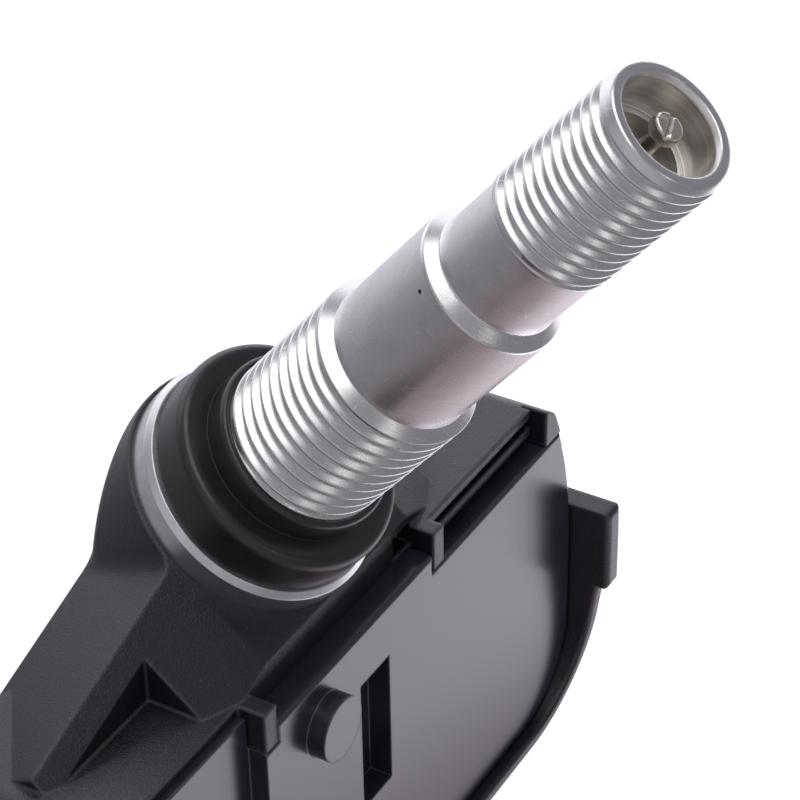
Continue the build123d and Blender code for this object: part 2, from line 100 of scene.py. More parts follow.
class Slot(Enum):
    """The record's material slots."""

    HOUSING = "housing_plastic"
    LID = "lid_plastic"
    STEM = "stem_aluminium"
    WASHER = "washer_steel"
    SEAL = "seal_rubber"
    CORE = "core_brass"
    PIN = "pin_nickel"
    SPRING = "spring_steel"
    BOARD = "board_laminate"
    CELL = "cell_steel"
    TAB = "tab_nickel"
    CHIP = "chip_epoxy"
    FILTER = "filter_membrane"
    FERRITE = "ferrite"
    WINDING = "winding_copper"
    CRYSTAL = "crystal_can"
    CERAMIC = "ceramic"
    ANTENNA = "antenna_copper"


class Value:
    """A shader socket that takes part in Python expressions on numbers."""

    def __init__(self, graph: "Graph", socket: Optional[bpy.types.NodeSocket]) -> None:
        """Wrap one output socket of a node, or none for the node that ends a tree."""
        self.graph = graph
        self.socket = socket

    def other(self, output: str) -> "Value":
        """Another output of the same node."""
        return Value(self.graph, self.socket.node.outputs[output])

    def _math(self, operation: str, first: "Operand", second: "Operand") -> "Value":
        """Add the Math node of one operation on two numbers."""
        return self.graph.add("ShaderNodeMath", {"operation": operation}, {0: first, 1: second})

    def __add__(self, other: "Operand") -> "Value":
        """This number plus another."""
        return self._math("ADD", self, other)

    def __radd__(self, other: "Operand") -> "Value":
        """Another number plus this one."""
        return self._math("ADD", other, self)

    def __sub__(self, other: "Operand") -> "Value":
        """This number less another."""
        return self._math("SUBTRACT", self, other)

    def __rsub__(self, other: "Operand") -> "Value":
        """Another number less this one."""
        return self._math("SUBTRACT", other, self)

    def __mul__(self, other: "Operand") -> "Value":
        """This number times another."""
        return self._math("MULTIPLY", self, other)

    def __rmul__(self, other: "Operand") -> "Value":
        """Another number times this one."""
        return self._math("MULTIPLY", other, self)

    def __truediv__(self, other: "Operand") -> "Value":
        """This number divided by another."""
        return self._math("DIVIDE", self, other)

    def __rtruediv__(self, other: "Operand") -> "Value":
        """Another number divided by this one."""
        return self._math("DIVIDE", other, self)

    def __pow__(self, other: "Operand") -> "Value":
        """This number to a power."""
        return self._math("POWER", self, other)

    def __rpow__(self, other: "Operand") -> "Value":
        """Another number to the power of this one."""
        return self._math("POWER", other, self)

    def rise(self, low: float, high: float) -> "Value":
        """A smooth step from 0 at low to 1 at high, or downwards where low is above high.

        Args:
            low: The value that gives 0.
            high: The value that gives 1.

        Returns:
            The eased share between the two.
        """
        sockets = {"Value": self, "From Min": low, "From Max": high}
        return self.graph.add("ShaderNodeMapRange", {"interpolation_type": "SMOOTHSTEP"}, sockets)


Operand = Union[Value, float]
Shade = Union[Value, Colour]


class Graph:
    """The node tree of a material or of the world, with the few kinds of node that the finishes share."""

    MIX_COLOURS = {"data_type": "RGBA"}
    MIX_FACTOR, MIX_FIRST, MIX_SECOND, MIX_RESULT = 0, 6, 7, 2
    BEVEL_SAMPLES = 6
    # A speck or a scratch is at full strength within this share of its size
    SPECK_CORE = 0.4
    SCRATCH_CORE = 0.3
    # Step from a place without a speck to one that holds a speck
    LOT_STEP = 0.001
    # Sizes of a scratch's bends and of its breaks, in spacings
    SCRATCH_BEND = 4.0
    SCRATCH_BREAK = 0.6
    # Noise level that hides all scratches, how far it falls with their share, and the fade above it
    SCRATCH_HIDDEN, SCRATCH_FALL, SCRATCH_FADE = 0.75, 0.4, 0.05

    def __init__(self, tree: bpy.types.NodeTree) -> None:
        """Start from an empty tree."""
        self.tree = tree
        tree.nodes.clear()

    def add(self, kind: str, settings: dict[str, Any], sockets: dict[Union[str, int], Any],
            output: Union[str, int] = 0) -> Value:
        """Add a node: its settings first, then the values or links of its sockets.

        Args:
            kind: Blender's name of the node's type.
            settings: Properties of the node by name.
            sockets: Input values by socket name or place: a Value to link, or a constant.
            output: Name or place of the output that is wanted.

        Returns:
            The wanted output.
        """
        node = self.tree.nodes.new(kind)
        for name, setting in settings.items():
            setattr(node, name, setting)
        for name, given in sockets.items():
            if isinstance(given, Value):
                self.tree.links.new(given.socket, node.inputs[name])
            else:
                node.inputs[name].default_value = given
        return Value(self, node.outputs[output] if node.outputs else None)

    def place(self) -> Value:
        """The surface point in the part's own frame, in metres."""
        return self.add("ShaderNodeTexCoord", {}, {}, "Object")

    def seen(self) -> Value:
        """1 where the camera looks straight at the surface, and 0 for all other light."""
        return self.add("ShaderNodeLightPath", {}, {}, "Is Camera Ray")

    def vectors(self, operation: str, first: Value, second: Union[Value, Place],
                output: Union[str, int] = 0) -> Value:
        """Add the Vector Math node of one operation on two vectors."""
        return self.add("ShaderNodeVectorMath", {"operation": operation}, {0: first, 1: second}, output)

    def stretched(self, vector: Value, scale: Place) -> Value:
        """A vector with each axis scaled by its own factor."""
        return self.vectors("MULTIPLY", vector, scale)

    def flat(self, vector: Value) -> Value:
        """A vector without its height."""
        return self.stretched(vector, (1.0, 1.0, 0.0))

    def length(self, vector: Value) -> Value:
        """The length of a vector."""
        return self.add("ShaderNodeVectorMath", {"operation": "LENGTH"}, {0: vector}, "Value")

    def noise(self, vector: Value, size: float, detail: float = 2.0, rough: float = 0.5) -> Value:
        """Soft noise whose blotches are about one size, in metres."""
        sockets = {"Vector": vector, "Scale": 1 / size, "Detail": detail, "Roughness": rough}
        return self.add("ShaderNodeTexNoise", {}, sockets)

    def mix(self, share: Operand, first: Shade, second: Shade) -> Value:
        """A colour between two, by share."""
        sockets = {self.MIX_FACTOR: share, self.MIX_FIRST: opaque(first), self.MIX_SECOND: opaque(second)}
        return self.add("ShaderNodeMix", self.MIX_COLOURS, sockets, self.MIX_RESULT)

    def specks(self, vector: Value, spacing: float, radius: float, share: float) -> Value:
        """A mask of scattered round specks.

        Args:
            vector: Where the pattern is read.
            spacing: Usual distance between places where a speck may sit, in metres.
            radius: Radius of a speck, in metres.
            share: Share of those places that hold one.

        Returns:
            1 on a speck and 0 elsewhere.
        """
        cell = self.add("ShaderNodeTexVoronoi", {}, {"Vector": vector, "Scale": 1 / spacing}, "Distance")
        lot = self.add("ShaderNodeSeparateColor", {}, {"Color": cell.other("Color")})
        held = lot.rise(1 - share, 1 - share + self.LOT_STEP)
        return cell.rise(radius / spacing, self.SPECK_CORE * radius / spacing) * held

    def net(self, vector: Value, spacing: float, width: float, core: float, scatter: float = 1.0) -> Value:
        """A mask of lines between scattered cells.

        Args:
            vector: Where the pattern is read.
            spacing: Usual distance between lines, in metres.
            width: How far a line reaches to either side, in metres.
            core: Share of that width at full strength.
            scatter: How unevenly the cells lie, from 0 to 1.

        Returns:
            1 on a line and 0 elsewhere.
        """
        sockets = {"Vector": vector, "Scale": 1 / spacing, "Randomness": scatter}
        cells = self.add("ShaderNodeTexVoronoi", {"feature": "DISTANCE_TO_EDGE"}, sockets)
        return cells.rise(width / spacing, core * width / spacing)

    def scratches(self, vector: Value, spacing: float, width: float, share: float) -> Value:
        """A mask of short broken scratches.

        Args:
            vector: Where the pattern is read.
            spacing: Usual distance between scratches, in metres.
            width: How far a scratch reaches to either side, in metres.
            share: Share of their length that shows, from 0 to 1.

        Returns:
            1 on a scratch and 0 elsewhere.
        """
        bends = self.noise(vector, self.SCRATCH_BEND * spacing).other("Color")
        bent = self.vectors("ADD", vector, self.stretched(bends, (spacing, spacing, spacing)))
        hidden = self.SCRATCH_HIDDEN - self.SCRATCH_FALL * share
        shown = self.noise(vector, self.SCRATCH_BREAK * spacing).rise(hidden, hidden + self.SCRATCH_FADE)
        return self.net(bent, spacing, width, self.SCRATCH_CORE) * shown

    def softened_normal(self, radius: float) -> Value:
        """The surface normal with edges rounded off at a radius, in metres."""
        return self.add("ShaderNodeBevel", {"samples": self.BEVEL_SAMPLES}, {"Radius": radius})

    def edge_mask(self, softened: Value) -> Value:
        """How far the rounded normal leans from the plain one: 0 on faces, more along edges."""
        plain = self.add("ShaderNodeNewGeometry", {}, {}, "Normal")
        return 1 - self.vectors("DOT_PRODUCT", softened, plain, "Value")

    def bump(self, height: Value, depth: float, normal: Value) -> Value:
        """A bumped normal from a height field whose full range is one depth, in metres."""
        sockets = {"Strength": 1.0, "Distance": depth, "Height": height, "Normal": normal}
        return self.add("ShaderNodeBump", {}, sockets)


def opaque(colour: Shade) -> Union[Value, tuple[float, float, float, float]]:
    """A colour with its alpha, or a linked value as it is."""
    return colour if isinstance(colour, Value) else (*colour, 1.0)


def shaded(colour: Colour, level: float) -> Colour:
    """A colour whose channels are all scaled by one level."""
    return tuple(channel * level for channel in colour)


@dataclass(frozen=True)
class Finish:
    """What every finish has: a slot, a colour, a roughness and softly rounded edges."""

    slot: Slot
    colour: Colour
    roughness: float
    edge_radius: float = 0.08 * MM

    def material(self) -> bpy.types.Material:
        """Make the material.

        Returns:
            A node material with this finish's constants and detail.
        """
        made = bpy.data.materials.new(f"finish_{self.slot.value}")
        made.use_nodes = True
        graph = Graph(made.node_tree)
        sockets = {**self.constants(), **self.detail(graph)}
        shader = graph.add("ShaderNodeBsdfPrincipled", {}, sockets)
        graph.add("ShaderNodeOutputMaterial", {}, {"Surface": shader})
        return made

    def constants(self) -> dict[str, Any]:
        """Shader sockets that are the same all over the surface."""
        return {}

    def detail(self, graph: Graph) -> dict[str, Any]:
        """Shader sockets that change over the surface."""
        raise NotImplementedError


@dataclass(frozen=True)
class MouldedPlastic(Finish):
    """Moulded plastic: fine grain, faint clouding, pale dust specks, and edges made lighter partly by wear
    and partly by a painted highlight.
    """

    grain_size: float = 0.12 * MM
    grain_depth: float = 0.006 * MM
    grain_dulling: float = 0.1
    cloud_size: float = 5.0 * MM
    cloud_share: float = 0.2
    cloud_levels: Span = (0.35, 0.65)
    cloud_dulling: float = 0.12
    speck_spacing: float = 0.4 * MM
    speck_radius: float = 0.045 * MM
    speck_share: float = 0.45
    speck_dulling: float = 0.3
    speck_height: float = 0.6
    speck_colour: Colour = (0.13, 0.13, 0.14)
    # Lighter colour along edges: partly wear, partly a painted highlight where rounded edges catch the light
    edge_wear_and_highlight_colour: Colour = (0.12, 0.12, 0.13)
    edge_wear_and_highlight_share: float = 0.7
    edge_wear_and_highlight_levels: Span = (0.01, 0.2)
    refraction: float = 1.5

    def constants(self) -> dict[str, Any]:
        """Refraction sets how strongly the plastic mirrors at a slant."""
        return {"IOR": self.refraction}

    def detail(self, graph: Graph) -> dict[str, Any]:
        """Colour, roughness and grain.

        Args:
            graph: The material's node tree.

        Returns:
            The shader's Base Color, Roughness and Normal.
        """
        place = graph.place()
        grain = graph.noise(place, self.grain_size, detail=3.0, rough=0.6)
        cloud = graph.noise(place, self.cloud_size, detail=4.0, rough=0.6)
        specks = graph.specks(place, self.speck_spacing, self.speck_radius, self.speck_share)
        softened = graph.softened_normal(self.edge_radius)
        # Edges are lightened partly as wear and partly as a painted highlight
        edge_wear_and_highlight = graph.edge_mask(softened).rise(*self.edge_wear_and_highlight_levels) * self.edge_wear_and_highlight_share
        deep = shaded(self.colour, 1 - self.cloud_share)
        pale = shaded(self.colour, 1 + self.cloud_share)
        clouded = graph.mix(cloud.rise(*self.cloud_levels), deep, pale)
        edge_worn_and_highlit = graph.mix(edge_wear_and_highlight, clouded, self.edge_wear_and_highlight_colour)
        return {
            "Base Color": graph.mix(specks, edge_worn_and_highlit, self.speck_colour),
            "Roughness": (self.roughness + self.cloud_dulling * (cloud - PATTERN_MIDDLE)
                          + self.grain_dulling * (grain - PATTERN_MIDDLE) + self.speck_dulling * specks),
            "Normal": graph.bump(grain + self.speck_height * specks, self.grain_depth, softened),
        }


@dataclass(frozen=True)
class TurnedMetal(Finish):
    """Metal turned about the stem's axis: tool lines round it, dull clouds, small nicks and scratches."""

    line_size: float = 0.05 * MM
    line_depth: float = 0.0012 * MM
    line_dulling: float = 0.1
    cloud_size: float = 1.6 * MM
    cloud_share: float = 0.08
    cloud_levels: Span = (0.3, 0.62)
    cloud_dulling: float = 0.1
    scratch_spacing: float = 2.4 * MM
    scratch_width: float = 0.03 * MM
    scratch_share: float = 0.3
    scratch_height: float = 0.8
    scratch_dulling: float = 0.1
    nick_colour: Colour = (0.93, 0.93, 0.94)
    round_stretch: float = 0.04

    def constants(self) -> dict[str, Any]:
        """Bare metal all over."""
        return {"Metallic": 1.0}

    def turned(self, graph: Graph, place: Value) -> Value:
        """The surface point with X and Y shrunk, so that noise on it runs in rings round Z."""
        return graph.stretched(place, (self.round_stretch, self.round_stretch, 1.0))

    def detail(self, graph: Graph) -> dict[str, Any]:
        """Colour, roughness and tool lines.

        Args:
            graph: The material's node tree.

        Returns:
            The shader's Base Color, Roughness and Normal.
        """
        place = graph.place()
        lines = graph.noise(self.turned(graph, place), self.line_size, rough=0.7)
        cloud = graph.noise(place, self.cloud_size, detail=5.0, rough=0.65)
        scratches = graph.scratches(place, self.scratch_spacing, self.scratch_width, self.scratch_share)
        softened = graph.softened_normal(self.edge_radius)
        dull = shaded(self.colour, 1 - self.cloud_share)
        clouded = graph.mix(cloud.rise(*self.cloud_levels), dull, self.colour)
        height = lines - self.scratch_height * scratches
        return {
            "Base Color": graph.mix(scratches, clouded, self.nick_colour),
            "Roughness": (self.roughness + self.cloud_dulling * (PATTERN_MIDDLE - cloud)
                          + self.line_dulling * (lines - PATTERN_MIDDLE) + self.scratch_dulling * scratches),
            "Normal": graph.bump(height, self.line_depth, softened),
        }


@dataclass(frozen=True)
class StemAluminium(TurnedMetal):
    """The stem's satin aluminium, with one dark pit by the shoulder and a duller, warmer, ringed mouth."""

    pit_place: Place = (-3.97 * MM, 2.09 * MM, 19.66 * MM)
    pit_radius: float = 0.16 * MM
    pit_core: float = 0.5
    pit_colour: Colour = (0.02, 0.02, 0.02)
    mouth_radius: float = 2.95 * MM
    mouth_edge: float = 1.04
    mouth_height: float = 32.0 * MM
    mouth_fade: float = 0.1 * MM
    mouth_colour: Colour = (0.97, 0.95, 0.92)
    mouth_line_colour: Colour = (0.84, 0.8, 0.75)
    mouth_line_size: float = 0.16 * MM
    mouth_line_levels: Span = (0.4, 0.6)
    mouth_dulling: float = 0.1

    def detail(self, graph: Graph) -> dict[str, Any]:
        """Turned metal, darkened in the pit and duller inside the mouth.

        Args:
            graph: The material's node tree.

        Returns:
            The shader's Base Color, Roughness and Normal.
        """
        sockets = super().detail(graph)
        place = graph.place()
        to_pit = graph.vectors("DISTANCE", place, self.pit_place, "Value")
        pit = to_pit.rise(self.pit_radius, self.pit_core * self.pit_radius)
        radius = graph.length(graph.flat(place))
        height = graph.add("ShaderNodeSeparateXYZ", {}, {"Vector": place}, "Z")
        high = height.rise(self.mouth_height, self.mouth_height + self.mouth_fade)
        inside = high * radius.rise(self.mouth_edge * self.mouth_radius, self.mouth_radius)
        lines = graph.noise(self.turned(graph, place), self.mouth_line_size, rough=0.6)
        rings = lines.rise(*self.mouth_line_levels)
        ringed = graph.mix(rings, self.mouth_colour, self.mouth_line_colour)
        warmed = graph.mix(inside, sockets["Base Color"], ringed)
        sockets["Base Color"] = graph.mix(pit, warmed, self.pit_colour)
        sockets["Roughness"] = sockets["Roughness"] + self.mouth_dulling * inside
        return sockets


@dataclass(frozen=True)
class MouldedRubber(Finish):
    """Black moulded rubber: matt skin, faint bloom and clinging dust."""

    skin_size: float = 0.2 * MM
    skin_depth: float = 0.008 * MM
    bloom_size: float = 2.5 * MM
    bloom_colour: Colour = (0.018, 0.018, 0.02)
    bloom_share: float = 0.6
    bloom_levels: Span = (0.4, 0.75)
    bloom_dulling: float = 0.15
    dust_spacing: float = 0.7 * MM
    dust_radius: float = 0.03 * MM
    dust_share: float = 0.4
    dust_dulling: float = 0.3
    dust_colour: Colour = (0.2, 0.2, 0.2)
    refraction: float = 1.72

    def constants(self) -> dict[str, Any]:
        """Refraction sets how strongly the skin mirrors at a slant."""
        return {"IOR": self.refraction}

    def detail(self, graph: Graph) -> dict[str, Any]:
        """Colour, roughness and skin.

        Args:
            graph: The material's node tree.

        Returns:
            The shader's Base Color, Roughness and Normal.
        """
        place = graph.place()
        skin = graph.noise(place, self.skin_size, detail=3.0)
        bloom = graph.noise(place, self.bloom_size, detail=4.0, rough=0.6)
        dust = graph.specks(place, self.dust_spacing, self.dust_radius, self.dust_share)
        softened = graph.softened_normal(self.edge_radius)
        veil = self.bloom_share * bloom.rise(*self.bloom_levels)
        bloomed = graph.mix(veil, self.colour, self.bloom_colour)
        return {
            "Base Color": graph.mix(dust, bloomed, self.dust_colour),
            "Roughness": (self.roughness + self.bloom_dulling * (bloom - PATTERN_MIDDLE)
                          + self.dust_dulling * dust),
            "Normal": graph.bump(skin + dust, self.skin_depth, softened),
        }


@dataclass(frozen=True)
class BoardLaminate(Finish):
    """Green solder mask over a laminate, with raised copper tracks under it."""

    track_spacing: float = 1.1 * MM
    track_width: float = 0.16 * MM
    track_depth: float = 0.02 * MM
    track_flat: float = 0.7
    track_scatter: float = 0.6
    track_colour: Colour = (0.06, 0.2, 0.08)
    weave_size: float = 0.25 * MM
    weave_height: float = 0.2
    weave_dulling: float = 0.1

    def detail(self, graph: Graph) -> dict[str, Any]:
        """Colour, roughness and tracks.

        Args:
            graph: The material's node tree.

        Returns:
            The shader's Base Color, Roughness and Normal.
        """
        place = graph.place()
        track = graph.net(place, self.track_spacing, self.track_width, self.track_flat, self.track_scatter)
        weave = graph.noise(place, self.weave_size)
        softened = graph.softened_normal(self.edge_radius)
        return {
            "Base Color": graph.mix(track, self.colour, self.track_colour),
            "Roughness": self.roughness + self.weave_dulling * (weave - PATTERN_MIDDLE),
            "Normal": graph.bump(track + self.weave_height * weave, self.track_depth, softened),
        }


@dataclass(frozen=True)
class WoundWire(Finish):
    """Fine enamelled wire wound round a bobbin that lies along X."""

    wire_size: float = 0.12 * MM
    wire_depth: float = 0.03 * MM
    wire_wobble: float = 0.4
    wire_dulling: float = 0.15
    # Darker colour in the grooves between turns: painted shade
    gap_painted_shade_colour: Colour = (0.12, 0.05, 0.025)
    gap_painted_shade_levels: Span = (0.1, 0.5)

    # Distance between the wave texture's bands at a scale of 1
    BAND_PERIOD = 0.314

    def constants(self) -> dict[str, Any]:
        """Copper under a clear enamel."""
        return {"Metallic": 1.0}

    def detail(self, graph: Graph) -> dict[str, Any]:
        """Colour, roughness and turns.

        Args:
            graph: The material's node tree.

        Returns:
            The shader's Base Color, Roughness and Normal.
        """
        place = graph.place()
        scale = self.BAND_PERIOD / self.wire_size
        sockets = {"Vector": place, "Scale": scale, "Distortion": self.wire_wobble, "Detail": 1.0}
        turns = graph.add("ShaderNodeTexWave", {"bands_direction": "X"}, sockets, "Fac")
        softened = graph.softened_normal(self.edge_radius)
        return {
            # The grooves between turns are darkened as painted shade
            "Base Color": graph.mix(turns.rise(*self.gap_painted_shade_levels), self.gap_painted_shade_colour, self.colour),
            "Roughness": self.roughness + self.wire_dulling * (PATTERN_MIDDLE - turns),
            "Normal": graph.bump(turns, self.wire_depth, softened),
        }


@dataclass(frozen=True)
class VentMembrane(Finish):
    """White porous membrane that lets air through and keeps water out."""

    fibre_size: float = 0.06 * MM
    fibre_depth: float = 0.02 * MM
    fibre_levels: Span = (0.3, 0.6)
    fibre_dulling: float = 0.1
    shade_colour: Colour = (0.6, 0.6, 0.57)

    def detail(self, graph: Graph) -> dict[str, Any]:
        """Colour, roughness and fibres.

        Args:
            graph: The material's node tree.

        Returns:
            The shader's Base Color, Roughness and Normal.
        """
        fibres = graph.noise(graph.place(), self.fibre_size, detail=4.0, rough=0.7)
        softened = graph.softened_normal(self.edge_radius)
        return {
            "Base Color": graph.mix(fibres.rise(*self.fibre_levels), self.shade_colour, self.colour),
            "Roughness": self.roughness + self.fibre_dulling * (fibres - PATTERN_MIDDLE),
            "Normal": graph.bump(fibres, self.fibre_depth, softened),
        }


class Corner(NamedTuple):
    """A corner of a turned outline and how far it is rounded off, in metres."""

    radius: float
    height: float
    round: float = 0.0


@dataclass(frozen=True)
class Thread:
    """An outside thread: its crest, its groove and the heights between which it is cut.

    At both ends the groove runs out over a number of turns.
    """

    crest_radius: float
    pitch: float
    depth: float
    low: float
    high: float
    low_runout: float
    high_runout: float

    # One turn of the groove: share of the pitch, and share of the depth there
    GROOVE = ((0.0, 0.0), (0.06, 0.0), (0.12, 0.07), (0.135, 0.11), (0.425, 0.88), (0.44, 0.92),
              (0.5, 1.0), (0.58, 1.0), (0.64, 0.92), (0.94, 0.07))

    def cut(self, height: float, depth_share: float) -> float:
        """Radius left by the groove at a height, shallower near both ends.

        Args:
            height: Height along the stem.
            depth_share: How deep in the groove the point lies, from 0 at the crest to 1 at the root.

        Returns:
            The radius there.
        """
        run_in = eased((height - self.low) / (self.low_runout * self.pitch))
        run_out = eased((self.high - height) / (self.high_runout * self.pitch))
        return self.crest_radius - self.depth * depth_share * run_in * run_out


def eased(share: float) -> float:
    """A smooth step of a share that is held between 0 and 1."""
    held = min(max(share, 0.0), 1.0)
    return held * held * (3 - 2 * held)


class Lathe:
    """Rings about the stem's axis, skinned in the order in which they are turned."""

    ARC_STEPS = 6
    MERGE = 1e-7

    def __init__(self, segments: int) -> None:
        """Start with no ring.

        Args:
            segments: Facets round the axis.
        """
        self.angles = [FULL_TURN * k / segments for k in range(segments + 1)]
        self.rows: list[list[Vector]] = []

    def ring(self, radius: float, height: float) -> None:
        """Turn one plain ring."""
        self.rows.append([Vector((radius * math.cos(a), radius * math.sin(a), height)) for a in self.angles])

    def outline(self, corners: list[Corner]) -> None:
        """Turn an outline, with an arc at each corner that is rounded.

        Args:
            corners: The outline's corners in order.
        """
        last = len(corners) - 1
        for place, corner in enumerate(corners):
            if corner.round == 0 or place in (0, last):
                self.ring(corner.radius, corner.height)
                continue
            tip = Vector((corner.radius, corner.height))
            before, after = (Vector(corners[place + step][:2]) for step in (-1, 1))
            start = tip + (before - tip).normalized() * corner.round
            end = tip + (after - tip).normalized() * corner.round
            for step in range(self.ARC_STEPS + 1):
                share = step / self.ARC_STEPS
                point = start.lerp(tip, share).lerp(tip.lerp(end, share), share)
                self.ring(point.x, point.y)

    def thread(self, thread: Thread, limit: list[Corner]) -> None:
        """Turn a thread, row by row along its own helix, inside a limiting outline.

        Args:
            thread: The thread.
            limit: Corners of the outline that the crests stay inside, from low to high.
        """
        turns = math.ceil((thread.high - thread.low) / thread.pitch) + 1
        for turn in range(turns + 1):
            for phase, depth_share in thread.GROOVE:
                row = []
                for angle in self.angles:
                    climb = turn + phase + angle / FULL_TURN - 1
                    height = min(max(thread.low + thread.pitch * climb, thread.low), thread.high)
                    radius = min(thread.cut(height, depth_share), radius_at(limit, height))
                    row.append(Vector((radius * math.cos(angle), radius * math.sin(angle), height)))
                self.rows.append(row)

    def piece(self, name: str) -> bpy.types.Object:
        """Skin the rings into a closed mesh, the last ring joined to the first.

        Args:
            name: Name of the new piece.

        Returns:
            The piece, smooth and linked to the scene.
        """
        shape = bmesh.new()
        grid = [[shape.verts.new(point) for point in row] for row in self.rows]
        for row, following in zip(grid, grid[1:] + grid[:1]):
            for k in range(len(self.angles) - 1):
                shape.faces.new((row[k], row[k + 1], following[k + 1], following[k]))
        bmesh.ops.remove_doubles(shape, verts=shape.verts, dist=self.MERGE)
        bmesh.ops.dissolve_degenerate(shape, edges=shape.edges, dist=self.MERGE)
        return smooth_piece(shape, name)


def linked(name: str, data: bpy.types.ID) -> bpy.types.Object:
    """Make an object of a mesh, a camera or a lamp.

    Args:
        name: Name of the object.
        data: The mesh, camera or lamp.

    Returns:
        The object, linked to the scene.
    """
    made = bpy.data.objects.new(name, data)
    bpy.context.scene.collection.objects.link(made)
    return made


def meshed(shape: bmesh.types.BMesh, name: str) -> bpy.types.Object:
    """Make an object of a shape.

    Args:
        shape: The shape, used up here.
        name: Name of the object and of its mesh.

    Returns:
        The object, linked to the scene.
    """
    mesh = bpy.data.meshes.new(name)
    shape.to_mesh(mesh)
    shape.free()
    return linked(name, mesh)


def smooth_piece(shape: bmesh.types.BMesh, name: str) -> bpy.types.Object:
    """Make a piece of a closed shape, smooth but for its sharp edges.

    Args:
        shape: The shape, used up here.
        name: Name of the new piece.

    Returns:
        The piece, linked to the scene.
    """
    bmesh.ops.recalc_face_normals(shape, faces=shape.faces)
    for face in shape.faces:
        face.smooth = True
    for edge in shape.edges:
        edge.smooth = edge.calc_face_angle(0.0) < SHARP_ANGLE
    made = meshed(shape, name)
    shading = made.modifiers.new("even_shading", "WEIGHTED_NORMAL")
    shading.weight = SHADING_WEIGHT
    shading.keep_sharp = True
    return made


def radius_at(corners: list[Corner], height: float) -> float:
    """Radius of an outline at a height, straight between its corners.

    Args:
        corners: The outline from low to high.
        height: Where it is read.

    Returns:
        The radius there.
    """
    for low, high in zip(corners, corners[1:]):
        if height <= high.height:
            share = (height - low.height) / (high.height - low.height)
            return low.radius + (high.radius - low.radius) * share
    return corners[-1].radius


def mount(name: str) -> tuple[float, float, float]:
    """Radius, lowest and highest height of a pin mount on the stem's axis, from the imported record.

    Args:
        name: The mount's name.

    Returns:
        The radius and both heights, in metres.
    """
    found = next(m for m in frame["record"]["mounts"] if m["name"] == name)
    half = found["dims"]["length_mm"] * MM / 2
    middle = found["pos_m"][2]
    return found["dims"]["r_mm"] * MM, middle - half, middle + half


def dressed(piece: bpy.types.Object, material: bpy.types.Material) -> bpy.types.Object:
    """Give a piece one material in place of whatever it came with.

    Args:
        piece: The piece.
        material: Its material.

    Returns:
        The same piece.
    """
    piece.data.materials.clear()
    piece.data.materials.append(material)
    return piece


def solid(name: str) -> bpy.types.Object:
    """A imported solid's object."""
    return frame["nodes"][name]


